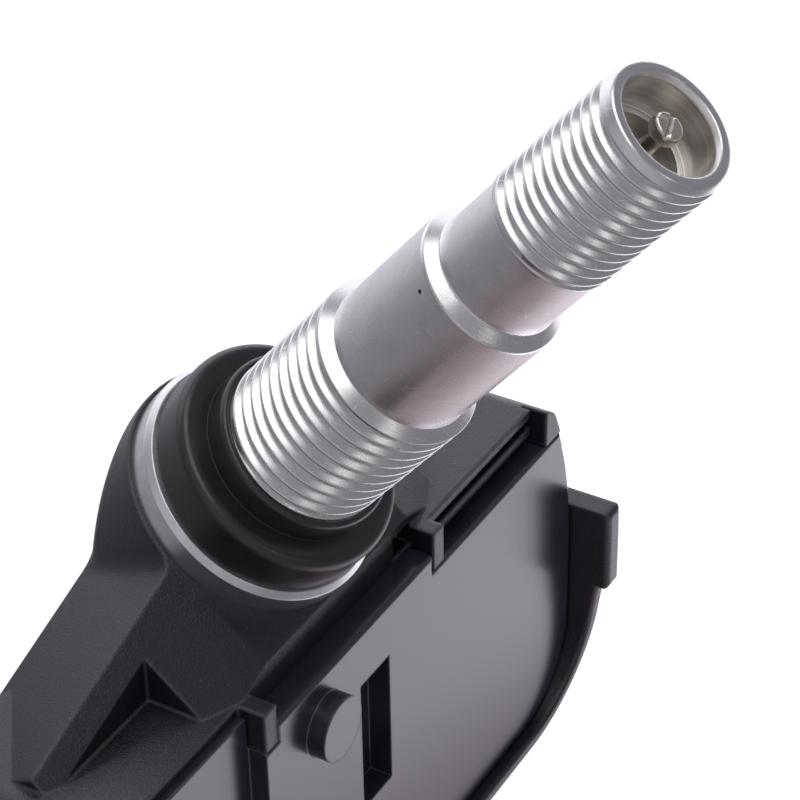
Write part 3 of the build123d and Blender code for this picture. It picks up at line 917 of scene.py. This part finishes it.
@dataclass
class ThreadedStem:
    """The turned stem with its two threads, in place of the plain solid."""

    segments: int = 160
    shank_radius: float = 4.8 * MM
    collar_radius: float = 5.5 * MM
    collar_length: float = 1.2 * MM
    thread_entry: float = 0.3 * MM
    nut_chamfer: float = 0.5 * MM
    nut_pitch: float = 1.0 * MM
    nut_depth: float = 0.56 * MM
    nut_runouts: Span = (0.3, 0.5)
    large_radius: float = 4.49 * MM
    large_length: float = 8.6 * MM
    shoulder_length: float = 0.6 * MM
    shoulder_round: float = 0.12 * MM
    small_radius: float = 3.71 * MM
    cap_pitch: float = 0.794 * MM
    cap_depth: float = 0.42 * MM
    cap_runouts: Span = (0.6, 1.0)
    lip_radius: float = 3.5 * MM
    lip_round: float = 0.14 * MM
    lip_crest_round: float = 0.126 * MM
    mouth_radius: float = 3.05 * MM
    mouth_bevel: float = 0.35 * MM
    counterbore_radius: float = 2.83 * MM
    counterbore_depth: float = 2.7 * MM
    ring_outside: float = 2.74 * MM
    ring_inside: float = 2.6 * MM
    ring_depth: float = 0.1 * MM
    chamber_radius: float = 2.37 * MM
    chamber_depth: float = 7.8 * MM
    seal_length: float = 1.8 * MM
    core_bore_radius: float = 2.02 * MM
    core_bore_low: float = 16.1 * MM
    air_radius: float = 1.2 * MM
    finish: Finish = field(default_factory=lambda: StemAluminium(
        Slot.STEM, (0.8, 0.8, 0.8), 0.27, scratch_spacing=1.8 * MM, scratch_share=0.42))

    def build(self) -> Iterator[bpy.types.Object]:
        """Turn the stem and dress it.

        Yields:
            The stem.
        """
        root, mouth = (corner.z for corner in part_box("valve_stem"))
        nut_radius, nut_low, nut_high = mount("nut_thread")
        cap_radius, cap_low, cap_high = mount("cap_thread")
        collar_top = root + self.collar_length
        large_low = nut_high + self.nut_chamfer
        shoulder = large_low + self.large_length
        lip_foot = Corner(self.lip_radius + self.lip_round, mouth - self.lip_round)
        ledge = mouth - self.counterbore_depth
        chamber_low = mouth - self.chamber_depth
        lathe = Lathe(self.segments)
        lathe.outline([
            Corner(self.air_radius, root),
            Corner(self.collar_radius, root),
            Corner(self.collar_radius, collar_top),
            Corner(self.shank_radius, collar_top),
            Corner(self.shank_radius, nut_low - self.thread_entry),
            Corner(nut_radius, nut_low),
        ])
        nut = Thread(nut_radius, self.nut_pitch, self.nut_depth, nut_low, nut_high, *self.nut_runouts)
        lathe.thread(nut, [Corner(nut_radius, nut_low), Corner(nut_radius, nut_high)])
        lathe.outline([
            Corner(nut_radius, nut_high),
            Corner(self.large_radius, large_low),
            Corner(self.large_radius, shoulder, self.shoulder_round),
            Corner(self.small_radius, shoulder + self.shoulder_length, self.shoulder_round),
            Corner(self.small_radius, cap_low - self.thread_entry),
            Corner(cap_radius, cap_low),
        ])
        cap = Thread(cap_radius, self.cap_pitch, self.cap_depth, cap_low, lip_foot.height, *self.cap_runouts)
        lathe.thread(cap, [Corner(cap_radius, cap_low), Corner(cap_radius, cap_high), lip_foot])
        lathe.outline([
            lip_foot,
            Corner(self.lip_radius, mouth, self.lip_crest_round),
            Corner(self.mouth_radius, mouth, self.lip_round),
            Corner(self.counterbore_radius, mouth - self.mouth_bevel, self.lip_round),
            Corner(self.counterbore_radius, ledge),
            Corner(self.ring_outside, ledge),
            Corner(self.ring_outside, ledge - self.ring_depth),
            Corner(self.ring_inside, ledge - self.ring_depth),
            Corner(self.ring_inside, ledge),
            Corner(self.chamber_radius, ledge),
            Corner(self.chamber_radius, chamber_low),
            Corner(self.core_bore_radius, chamber_low - self.seal_length),
            Corner(self.core_bore_radius, self.core_bore_low),
            Corner(self.air_radius, self.core_bore_low - self.core_bore_radius),
        ])
        stem = dressed(lathe.piece("threaded_stem"), self.finish.material())
        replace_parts(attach(stem, Body.SENSOR.value), "valve_stem")
        yield stem


@dataclass
class ValvePin:
    """The valve's pin with its crimped head, in place of the plain solid."""

    segments: int = 64
    shaft_radius: float = 0.5 * MM
    head_radius: float = 0.86 * MM
    head_length: float = 0.95 * MM
    head_side: float = 0.76 * MM
    head_round: float = 0.3 * MM
    head_foot_round: float = 0.095 * MM
    collar_radius: float = 1.15 * MM
    collar_height: float = 27.6 * MM
    collar_length: float = 0.4 * MM
    rivet_radius: float = 0.8 * MM
    rivet_length: float = 0.5 * MM
    rivet_round: float = 0.1 * MM
    crown_inset: float = 0.36 * MM
    crown_rings: int = 10
    crimp_angle: float = math.radians(20)
    crimp_depth: float = 0.2 * MM
    crimp_width: float = 0.2 * MM
    side_crimp_width: float = 0.12 * MM
    finish: Finish = field(default_factory=lambda: TurnedMetal(
        Slot.PIN, (0.76, 0.69, 0.63), 0.18, edge_radius=0.05 * MM, scratch_spacing=0.6 * MM))

    def build(self) -> Iterator[bpy.types.Object]:
        """Turn the pin, press its crimp and dress it.

        Yields:
            The pin.
        """
        foot, top = (corner.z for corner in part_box("core_pin"))
        cup = foot + self.rivet_length
        collar_top = self.collar_height + self.collar_length
        crown = self.head_radius - self.crown_inset
        lathe = Lathe(self.segments)
        lathe.outline([
            Corner(0.0, foot),
            Corner(self.rivet_radius, foot, self.rivet_round),
            Corner(self.rivet_radius, cup),
            Corner(self.shaft_radius, cup),
            Corner(self.shaft_radius, self.collar_height),
            Corner(self.collar_radius, self.collar_height),
            Corner(self.collar_radius, collar_top),
            Corner(self.shaft_radius, collar_top),
            Corner(self.shaft_radius, top - self.head_length, self.head_foot_round),
            Corner(self.head_radius, top - self.head_side, self.head_foot_round),
            Corner(self.head_radius, top, self.head_round),
            Corner(crown, top),
        ])
        for ring in range(1, self.crown_rings + 1):
            lathe.ring(crown * (1 - ring / self.crown_rings), top)
        self.press(lathe, top)
        pin = dressed(lathe.piece("valve_pin"), self.finish.material())
        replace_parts(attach(pin, Body.PIN.value), "core_pin")
        yield pin

    def press(self, lathe: Lathe, top: float) -> None:
        """Press a V across the crown and a shorter one beside it.

        Args:
            lathe: The turned pin, changed in place.
            top: Height of the crown.
        """
        along = Vector((math.cos(self.crimp_angle), math.sin(self.crimp_angle), 0.0))
        across = Vector((-along.y, along.x, 0.0))
        for row in lathe.rows:
            for point in row:
                if point.z < top - self.head_round:
                    continue
                main = 1 - abs(point.dot(across)) / self.crimp_width
                side = 1 - abs(point.dot(along) - self.crimp_width) / self.side_crimp_width
                near = side if point.dot(across) > 0 else 0.0
                point.z -= self.crimp_depth * max(main, near, 0.0)


@dataclass
class SealStack:
    """The steel washer and the rubber grommet between housing and rim, and the small seals."""

    washer: Finish = field(default_factory=lambda: TurnedMetal(
        Slot.WASHER, (0.84, 0.83, 0.84), 0.3, edge_radius=0.12 * MM, cloud_share=0.15))
    rubber: Finish = field(default_factory=lambda: MouldedRubber(
        Slot.SEAL, (0.006, 0.006, 0.008), 0.36, edge_radius=0.1 * MM))

    def build(self) -> Iterator[bpy.types.Object]:
        """Dress the washer and every rubber piece.

        Yields:
            Each dressed piece.
        """
        yield dressed(solid("seat_washer"), self.washer.material())
        rubber = self.rubber.material()
        for name in ("grommet", "core_seal", "cup_seal", "port_seal"):
            yield dressed(solid(name), rubber)


@dataclass
class Casing:
    """The moulded housing and its lid."""

    housing: Finish = field(default_factory=lambda: MouldedPlastic(
        Slot.HOUSING, (0.0076, 0.007, 0.0135), 0.32, edge_radius=0.4 * MM, grain_depth=0.035 * MM,
        grain_dulling=0.3, speck_share=0.2, refraction=1.7))
    lid: Finish = field(default_factory=lambda: MouldedPlastic(
        Slot.LID, (0.022, 0.02, 0.036), 0.26, edge_radius=0.2 * MM, grain_size=0.2 * MM,
        grain_depth=0.001 * MM, grain_dulling=0.02, cloud_dulling=0.03, speck_share=0.01, refraction=1.82))

    def build(self) -> Iterator[bpy.types.Object]:
        """Dress both mouldings.

        Yields:
            Each dressed piece.
        """
        yield dressed(solid("housing"), self.housing.material())
        yield dressed(solid("lid"), self.lid.material())


@dataclass
class ValveCore:
    """The brass core round the pin."""

    brass: Finish = field(default_factory=lambda: TurnedMetal(
        Slot.CORE, (0.78, 0.74, 0.68), 0.34, edge_radius=0.05 * MM, scratch_spacing=0.8 * MM))

    def build(self) -> Iterator[bpy.types.Object]:
        """Dress the plug, barrel and cup.

        Yields:
            Each dressed piece.
        """
        brass = self.brass.material()
        for name in ("core_plug", "core_barrel", "core_cup"):
            yield dressed(solid(name), brass)


@dataclass
class ReturnSpring:
    """The spring round the pin, wound from one wire; it shortens as the pin goes in."""

    turns: int = 6
    turn_steps: int = 40
    wire_sides: int = 12
    wire_radius: float = 0.13 * MM
    joint: str = "pin_slide"
    travel: float = 1.8 * MM
    finish: Finish = field(default_factory=lambda: TurnedMetal(
        Slot.SPRING, (0.5, 0.5, 0.5), 0.3, edge_radius=0.02 * MM))

    def build(self) -> Iterator[bpy.types.Object]:
        """Wind the spring and dress it.

        Yields:
            The spring.
        """
        low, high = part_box("core_spring")
        spring = dressed(self.wound(low, high), self.finish.material())
        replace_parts(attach(spring, Body.SENSOR.value), "core_spring")
        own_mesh(spring)
        yield spring

    def wound(self, low: Vector, high: Vector) -> bpy.types.Object:
        """Wind the wire as an even helix about the stem's axis.

        Args:
            low: Lower corner of the box that the spring fills.
            high: Upper corner of that box.

        Returns:
            The bare spring.
        """
        shape = bmesh.new()
        coil = high.x - self.wire_radius
        start, end = low.z + self.wire_radius, high.z - self.wire_radius
        steps = self.turns * self.turn_steps
        rows = []
        for step in range(steps + 1):
            angle = FULL_TURN * step / self.turn_steps
            outward = Vector((math.cos(angle), math.sin(angle), 0.0))
            ahead = Vector((-coil * outward.y, coil * outward.x, (end - start) / (FULL_TURN * self.turns)))
            upward = outward.cross(ahead.normalized())
            centre = coil * outward + Vector((0.0, 0.0, start + (end - start) * step / steps))
            row = []
            for side in range(self.wire_sides):
                about = FULL_TURN * side / self.wire_sides
                spoke = math.cos(about) * outward + math.sin(about) * upward
                row.append(shape.verts.new(centre + self.wire_radius * spoke))
            rows.append(row)
        for row, following in zip(rows, rows[1:]):
            for k in range(self.wire_sides):
                shape.faces.new((row[k - 1], row[k], following[k], following[k - 1]))
        shape.faces.new(rows[0])
        shape.faces.new(rows[-1])
        return smooth_piece(shape, "return_spring")


@dataclass
class Electronics:
    """The circuit board, the cell and everything soldered on or under the board."""

    finishes: dict[str, Finish] = field(default_factory=lambda: {
        "circuit_board": BoardLaminate(Slot.BOARD, (0.02, 0.1, 0.04), 0.35),
        "coin_cell": TurnedMetal(Slot.CELL, (0.66, 0.66, 0.66), 0.28, round_stretch=0.6),
        "positive_tab": TurnedMetal(Slot.TAB, (0.6, 0.58, 0.54), 0.32, round_stretch=0.6),
        "sensor_chip": MouldedPlastic(Slot.CHIP, (0.03, 0.03, 0.03), 0.5),
        "port_filter": VentMembrane(Slot.FILTER, (0.82, 0.82, 0.8), 0.8),
        "coil_core": MouldedPlastic(Slot.FERRITE, (0.05, 0.05, 0.05), 0.55, grain_size=0.07 * MM),
        "coil_winding": WoundWire(Slot.WINDING, (0.62, 0.3, 0.15), 0.35),
        "crystal": TurnedMetal(Slot.CRYSTAL, (0.65, 0.65, 0.66), 0.25, round_stretch=0.6),
        "capacitors": MouldedPlastic(Slot.CERAMIC, (0.42, 0.33, 0.22), 0.45, speck_colour=(0.5, 0.42, 0.3)),
        "antenna_loop": TurnedMetal(Slot.ANTENNA, (0.66, 0.38, 0.22), 0.3, round_stretch=0.6),
    })

    def build(self) -> Iterator[bpy.types.Object]:
        """Dress every piece in the housing.

        Yields:
            Each dressed piece.
        """
        for name, finish in self.finishes.items():
            material = finish.material()
            yield dressed(solid(name), material)
            if finish.slot is Slot.TAB:
                yield dressed(solid("negative_tab"), material)


class Softbox(NamedTuple):
    """A soft lamp aimed at the stem: where it hangs, its long side, its size and its brightness."""

    towards: Place
    along: Place
    length: float
    width: float
    radiance: float


@dataclass
class Studio:
    """A white studio that is bright behind the part, dim overhead and dark on the camera's side."""

    camera_place: Place = (-98.5 * MM, 3.6 * MM, 107.76 * MM)
    camera_forward: Place = (0.7069, -0.0382, -0.7063)
    camera_up: Place = (0.4957, 0.7389, 0.4563)
    sensor_width: float = 36.0
    lens: float = 113.18
    near_clip: float = 1.0 * MM
    floor_gap: float = 0.1 * MM
    floor_radius: float = 0.9
    floor_segments: int = 96
    floor_colour: Colour = (0.9, 0.9, 0.9)
    floor_white: float = 0.78
    near_level: float = 0.55
    near_falloff: float = 1.3
    far_floor: Span = (68 * MM, 86 * MM)
    backdrop: Span = (-0.5, 0.3)
    backdrop_top: Span = (0.32, 0.24)
    backdrop_side: Span = (-0.5, 0.0)
    dim_level: float = 0.23
    bright_level: float = 1.3
    fill_share: float = 0.19
    fill_side: Span = (-0.3, -0.8)
    flank_share: float = 0.3
    flank_side: Span = (-0.2, -0.6)
    air_tint: Colour = (0.99, 0.98, 1.08)
    floor_tint: Colour = (0.98, 0.935, 1.04)
    shade_tint: Colour = (1.0, 0.8, 0.87)
    shade_side: Span = (0.1, -0.5)
    lamp_distance: float = 0.45
    lamp_aim: Place = (0.0, 0.0, 15 * MM)
    softboxes: tuple[Softbox, ...] = (
        Softbox((-0.01, 0.65, 0.76), (0.73, 0.37, -0.41), 0.42, 0.16, 2.0),
        Softbox((-0.2, -0.53, 0.82), (0.43, -0.38, -0.2), 0.08, 0.08, 1.7),
        Softbox((-0.4, 0.28, 0.87), (0.6, 0.8, 0.0), 0.14, 0.12, 1.5),
    )

    def build(self) -> None:
        """Make the camera, the floor, the world and the lamps."""
        scene = bpy.context.scene
        scene.view_settings.view_transform = "Standard"
        scene.camera = self.camera()
        self.floor()
        self.world()
        for softbox in self.softboxes:
            self.lamp(softbox)

    def camera(self) -> bpy.types.Object:
        """Make the camera where the photograph was taken from.

        Returns:
            The camera.
        """
        data = bpy.data.cameras.new("camera")
        data.sensor_width = self.sensor_width
        data.lens = self.lens
        data.clip_start = self.near_clip
        made = linked("camera", data)
        back = -Vector(self.camera_forward).normalized()
        right = Vector(self.camera_up).cross(back).normalized()
        self.aim(made, Vector(self.camera_place), right, back)
        return made

    def aim(self, piece: bpy.types.Object, place: Vector, right: Vector, back: Vector) -> None:
        """Put a camera or a lamp in its place.

        Args:
            piece: The camera or lamp, which looks along its own -Z.
            place: Where it stands or hangs.
            right: Its own X axis.
            back: Its own Z axis.
        """
        turn = Matrix((right, back.cross(right), back)).transposed()
        piece.matrix_world = Matrix.Translation(place) @ turn.to_4x4()

    def lamp(self, softbox: Softbox) -> None:
        """Hang one softbox.

        Args:
            softbox: The lamp's place, size and brightness.
        """
        data = bpy.data.lights.new("softbox", "AREA")
        data.shape = "RECTANGLE"
        data.size = softbox.length
        data.size_y = softbox.width
        data.energy = softbox.radiance * math.pi * softbox.length * softbox.width
        away = Vector(softbox.towards).normalized()
        across = away.cross(Vector(softbox.along)).normalized()
        place = Vector(self.lamp_aim) + away * self.lamp_distance
        self.aim(linked("softbox", data), place, across.cross(away), away)

    def lit(self, graph: Graph, share: Value, tint: Shade) -> Value:
        """The colour of light between the dim and the bright level.

        Args:
            graph: The node tree that asks.
            share: 0 for the dim level and 1 for the bright one.
            tint: The light's tint, as a colour or a linked value.

        Returns:
            The colour.
        """
        level = self.dim_level + (self.bright_level - self.dim_level) * share
        return graph.add("ShaderNodeVectorMath", {"operation": "SCALE"}, {0: tint, "Scale": level})

    def floor(self) -> bpy.types.Object:
        """Make the floor: white to the camera, with the part's shadow on it. For all other light it glows,
        dimmer near the part on the camera's side as a painted shadow.

        Returns:
            The floor.
        """
        shape = bmesh.new()
        height = cad_box[0].z - self.floor_gap
        bmesh.ops.create_circle(shape, cap_ends=True, segments=self.floor_segments, radius=self.floor_radius,
                                matrix=Matrix.Translation((0, 0, height)))
        material = bpy.data.materials.new("floor_white")
        material.use_nodes = True
        graph = Graph(material.node_tree)
        flat = graph.flat(graph.place())
        along = graph.add("ShaderNodeSeparateXYZ", {}, {"Vector": flat}, "X")
        reach = graph.length(flat)
        turn = along / reach
        side = along.other("Y") / reach
        # Near the part the glow falls off towards the camera's side: a painted shadow of the part on the
        # floor
        near = ((1 + turn) / 2) ** self.near_falloff * self.near_level
        far = turn.rise(*self.backdrop) * (1 + self.flank_share * side.rise(*self.flank_side))
        blend = reach.rise(*self.far_floor)
        share = near * (1 - blend) + far * blend
        tint = graph.mix(side.rise(*self.shade_side) * (1 - share), self.floor_tint, self.shade_tint)
        glow = self.lit(graph, share, tint)
        diffuse = graph.add("ShaderNodeBsdfDiffuse", {}, {"Color": opaque(self.floor_colour)})
        white = graph.add("ShaderNodeEmission", {}, {"Color": opaque(WHITE), "Strength": self.floor_white})
        shadowed = graph.add("ShaderNodeAddShader", {}, {0: diffuse, 1: white})
        glowing = graph.add("ShaderNodeEmission", {}, {"Color": glow})
        surface = graph.add("ShaderNodeMixShader", {}, {0: graph.seen(), 1: glowing, 2: shadowed})
        graph.add("ShaderNodeOutputMaterial", {}, {"Surface": surface})
        return dressed(meshed(shape, "floor"), material)

    def world(self) -> None:
        """Make the surroundings: white to the camera, with a glowing backdrop for all other light."""
        made = bpy.data.worlds.new("studio")
        made.use_nodes = True
        bpy.context.scene.world = made
        graph = Graph(made.node_tree)
        direction = graph.add("ShaderNodeTexCoord", {}, {}, "Generated")
        along = graph.add("ShaderNodeSeparateXYZ", {}, {"Vector": direction}, "X")
        across = along.other("Y")
        low = along.other("Z").rise(*self.backdrop_top)
        behind = along.rise(*self.backdrop) * across.rise(*self.backdrop_side) * low
        glow = self.lit(graph, behind + self.fill_share * along.rise(*self.fill_side), self.air_tint)
        glowing = graph.add("ShaderNodeBackground", {}, {"Color": glow})
        white = graph.add("ShaderNodeBackground", {}, {"Color": opaque(WHITE)})
        surface = graph.add("ShaderNodeMixShader", {}, {0: graph.seen(), 1: glowing, 2: white})
        graph.add("ShaderNodeOutputWorld", {}, {"Surface": surface})


def write_sizes() -> None:
    """Bring the view layer up to date."""
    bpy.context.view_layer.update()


def main() -> None:
    """Build the studio and every sub-assembly, in order."""
    logging.basicConfig(level=logging.INFO, format="%(name)s: %(message)s")
    Studio().build()
    kinds = (ThreadedStem, ValvePin, ValveCore, ReturnSpring, SealStack, Casing, Electronics)
    for kind in kinds:
        for piece in kind().build():
            log.info("%s: %s", kind.__name__, piece.name)
    write_sizes()


if __name__ == "__main__":
    main()
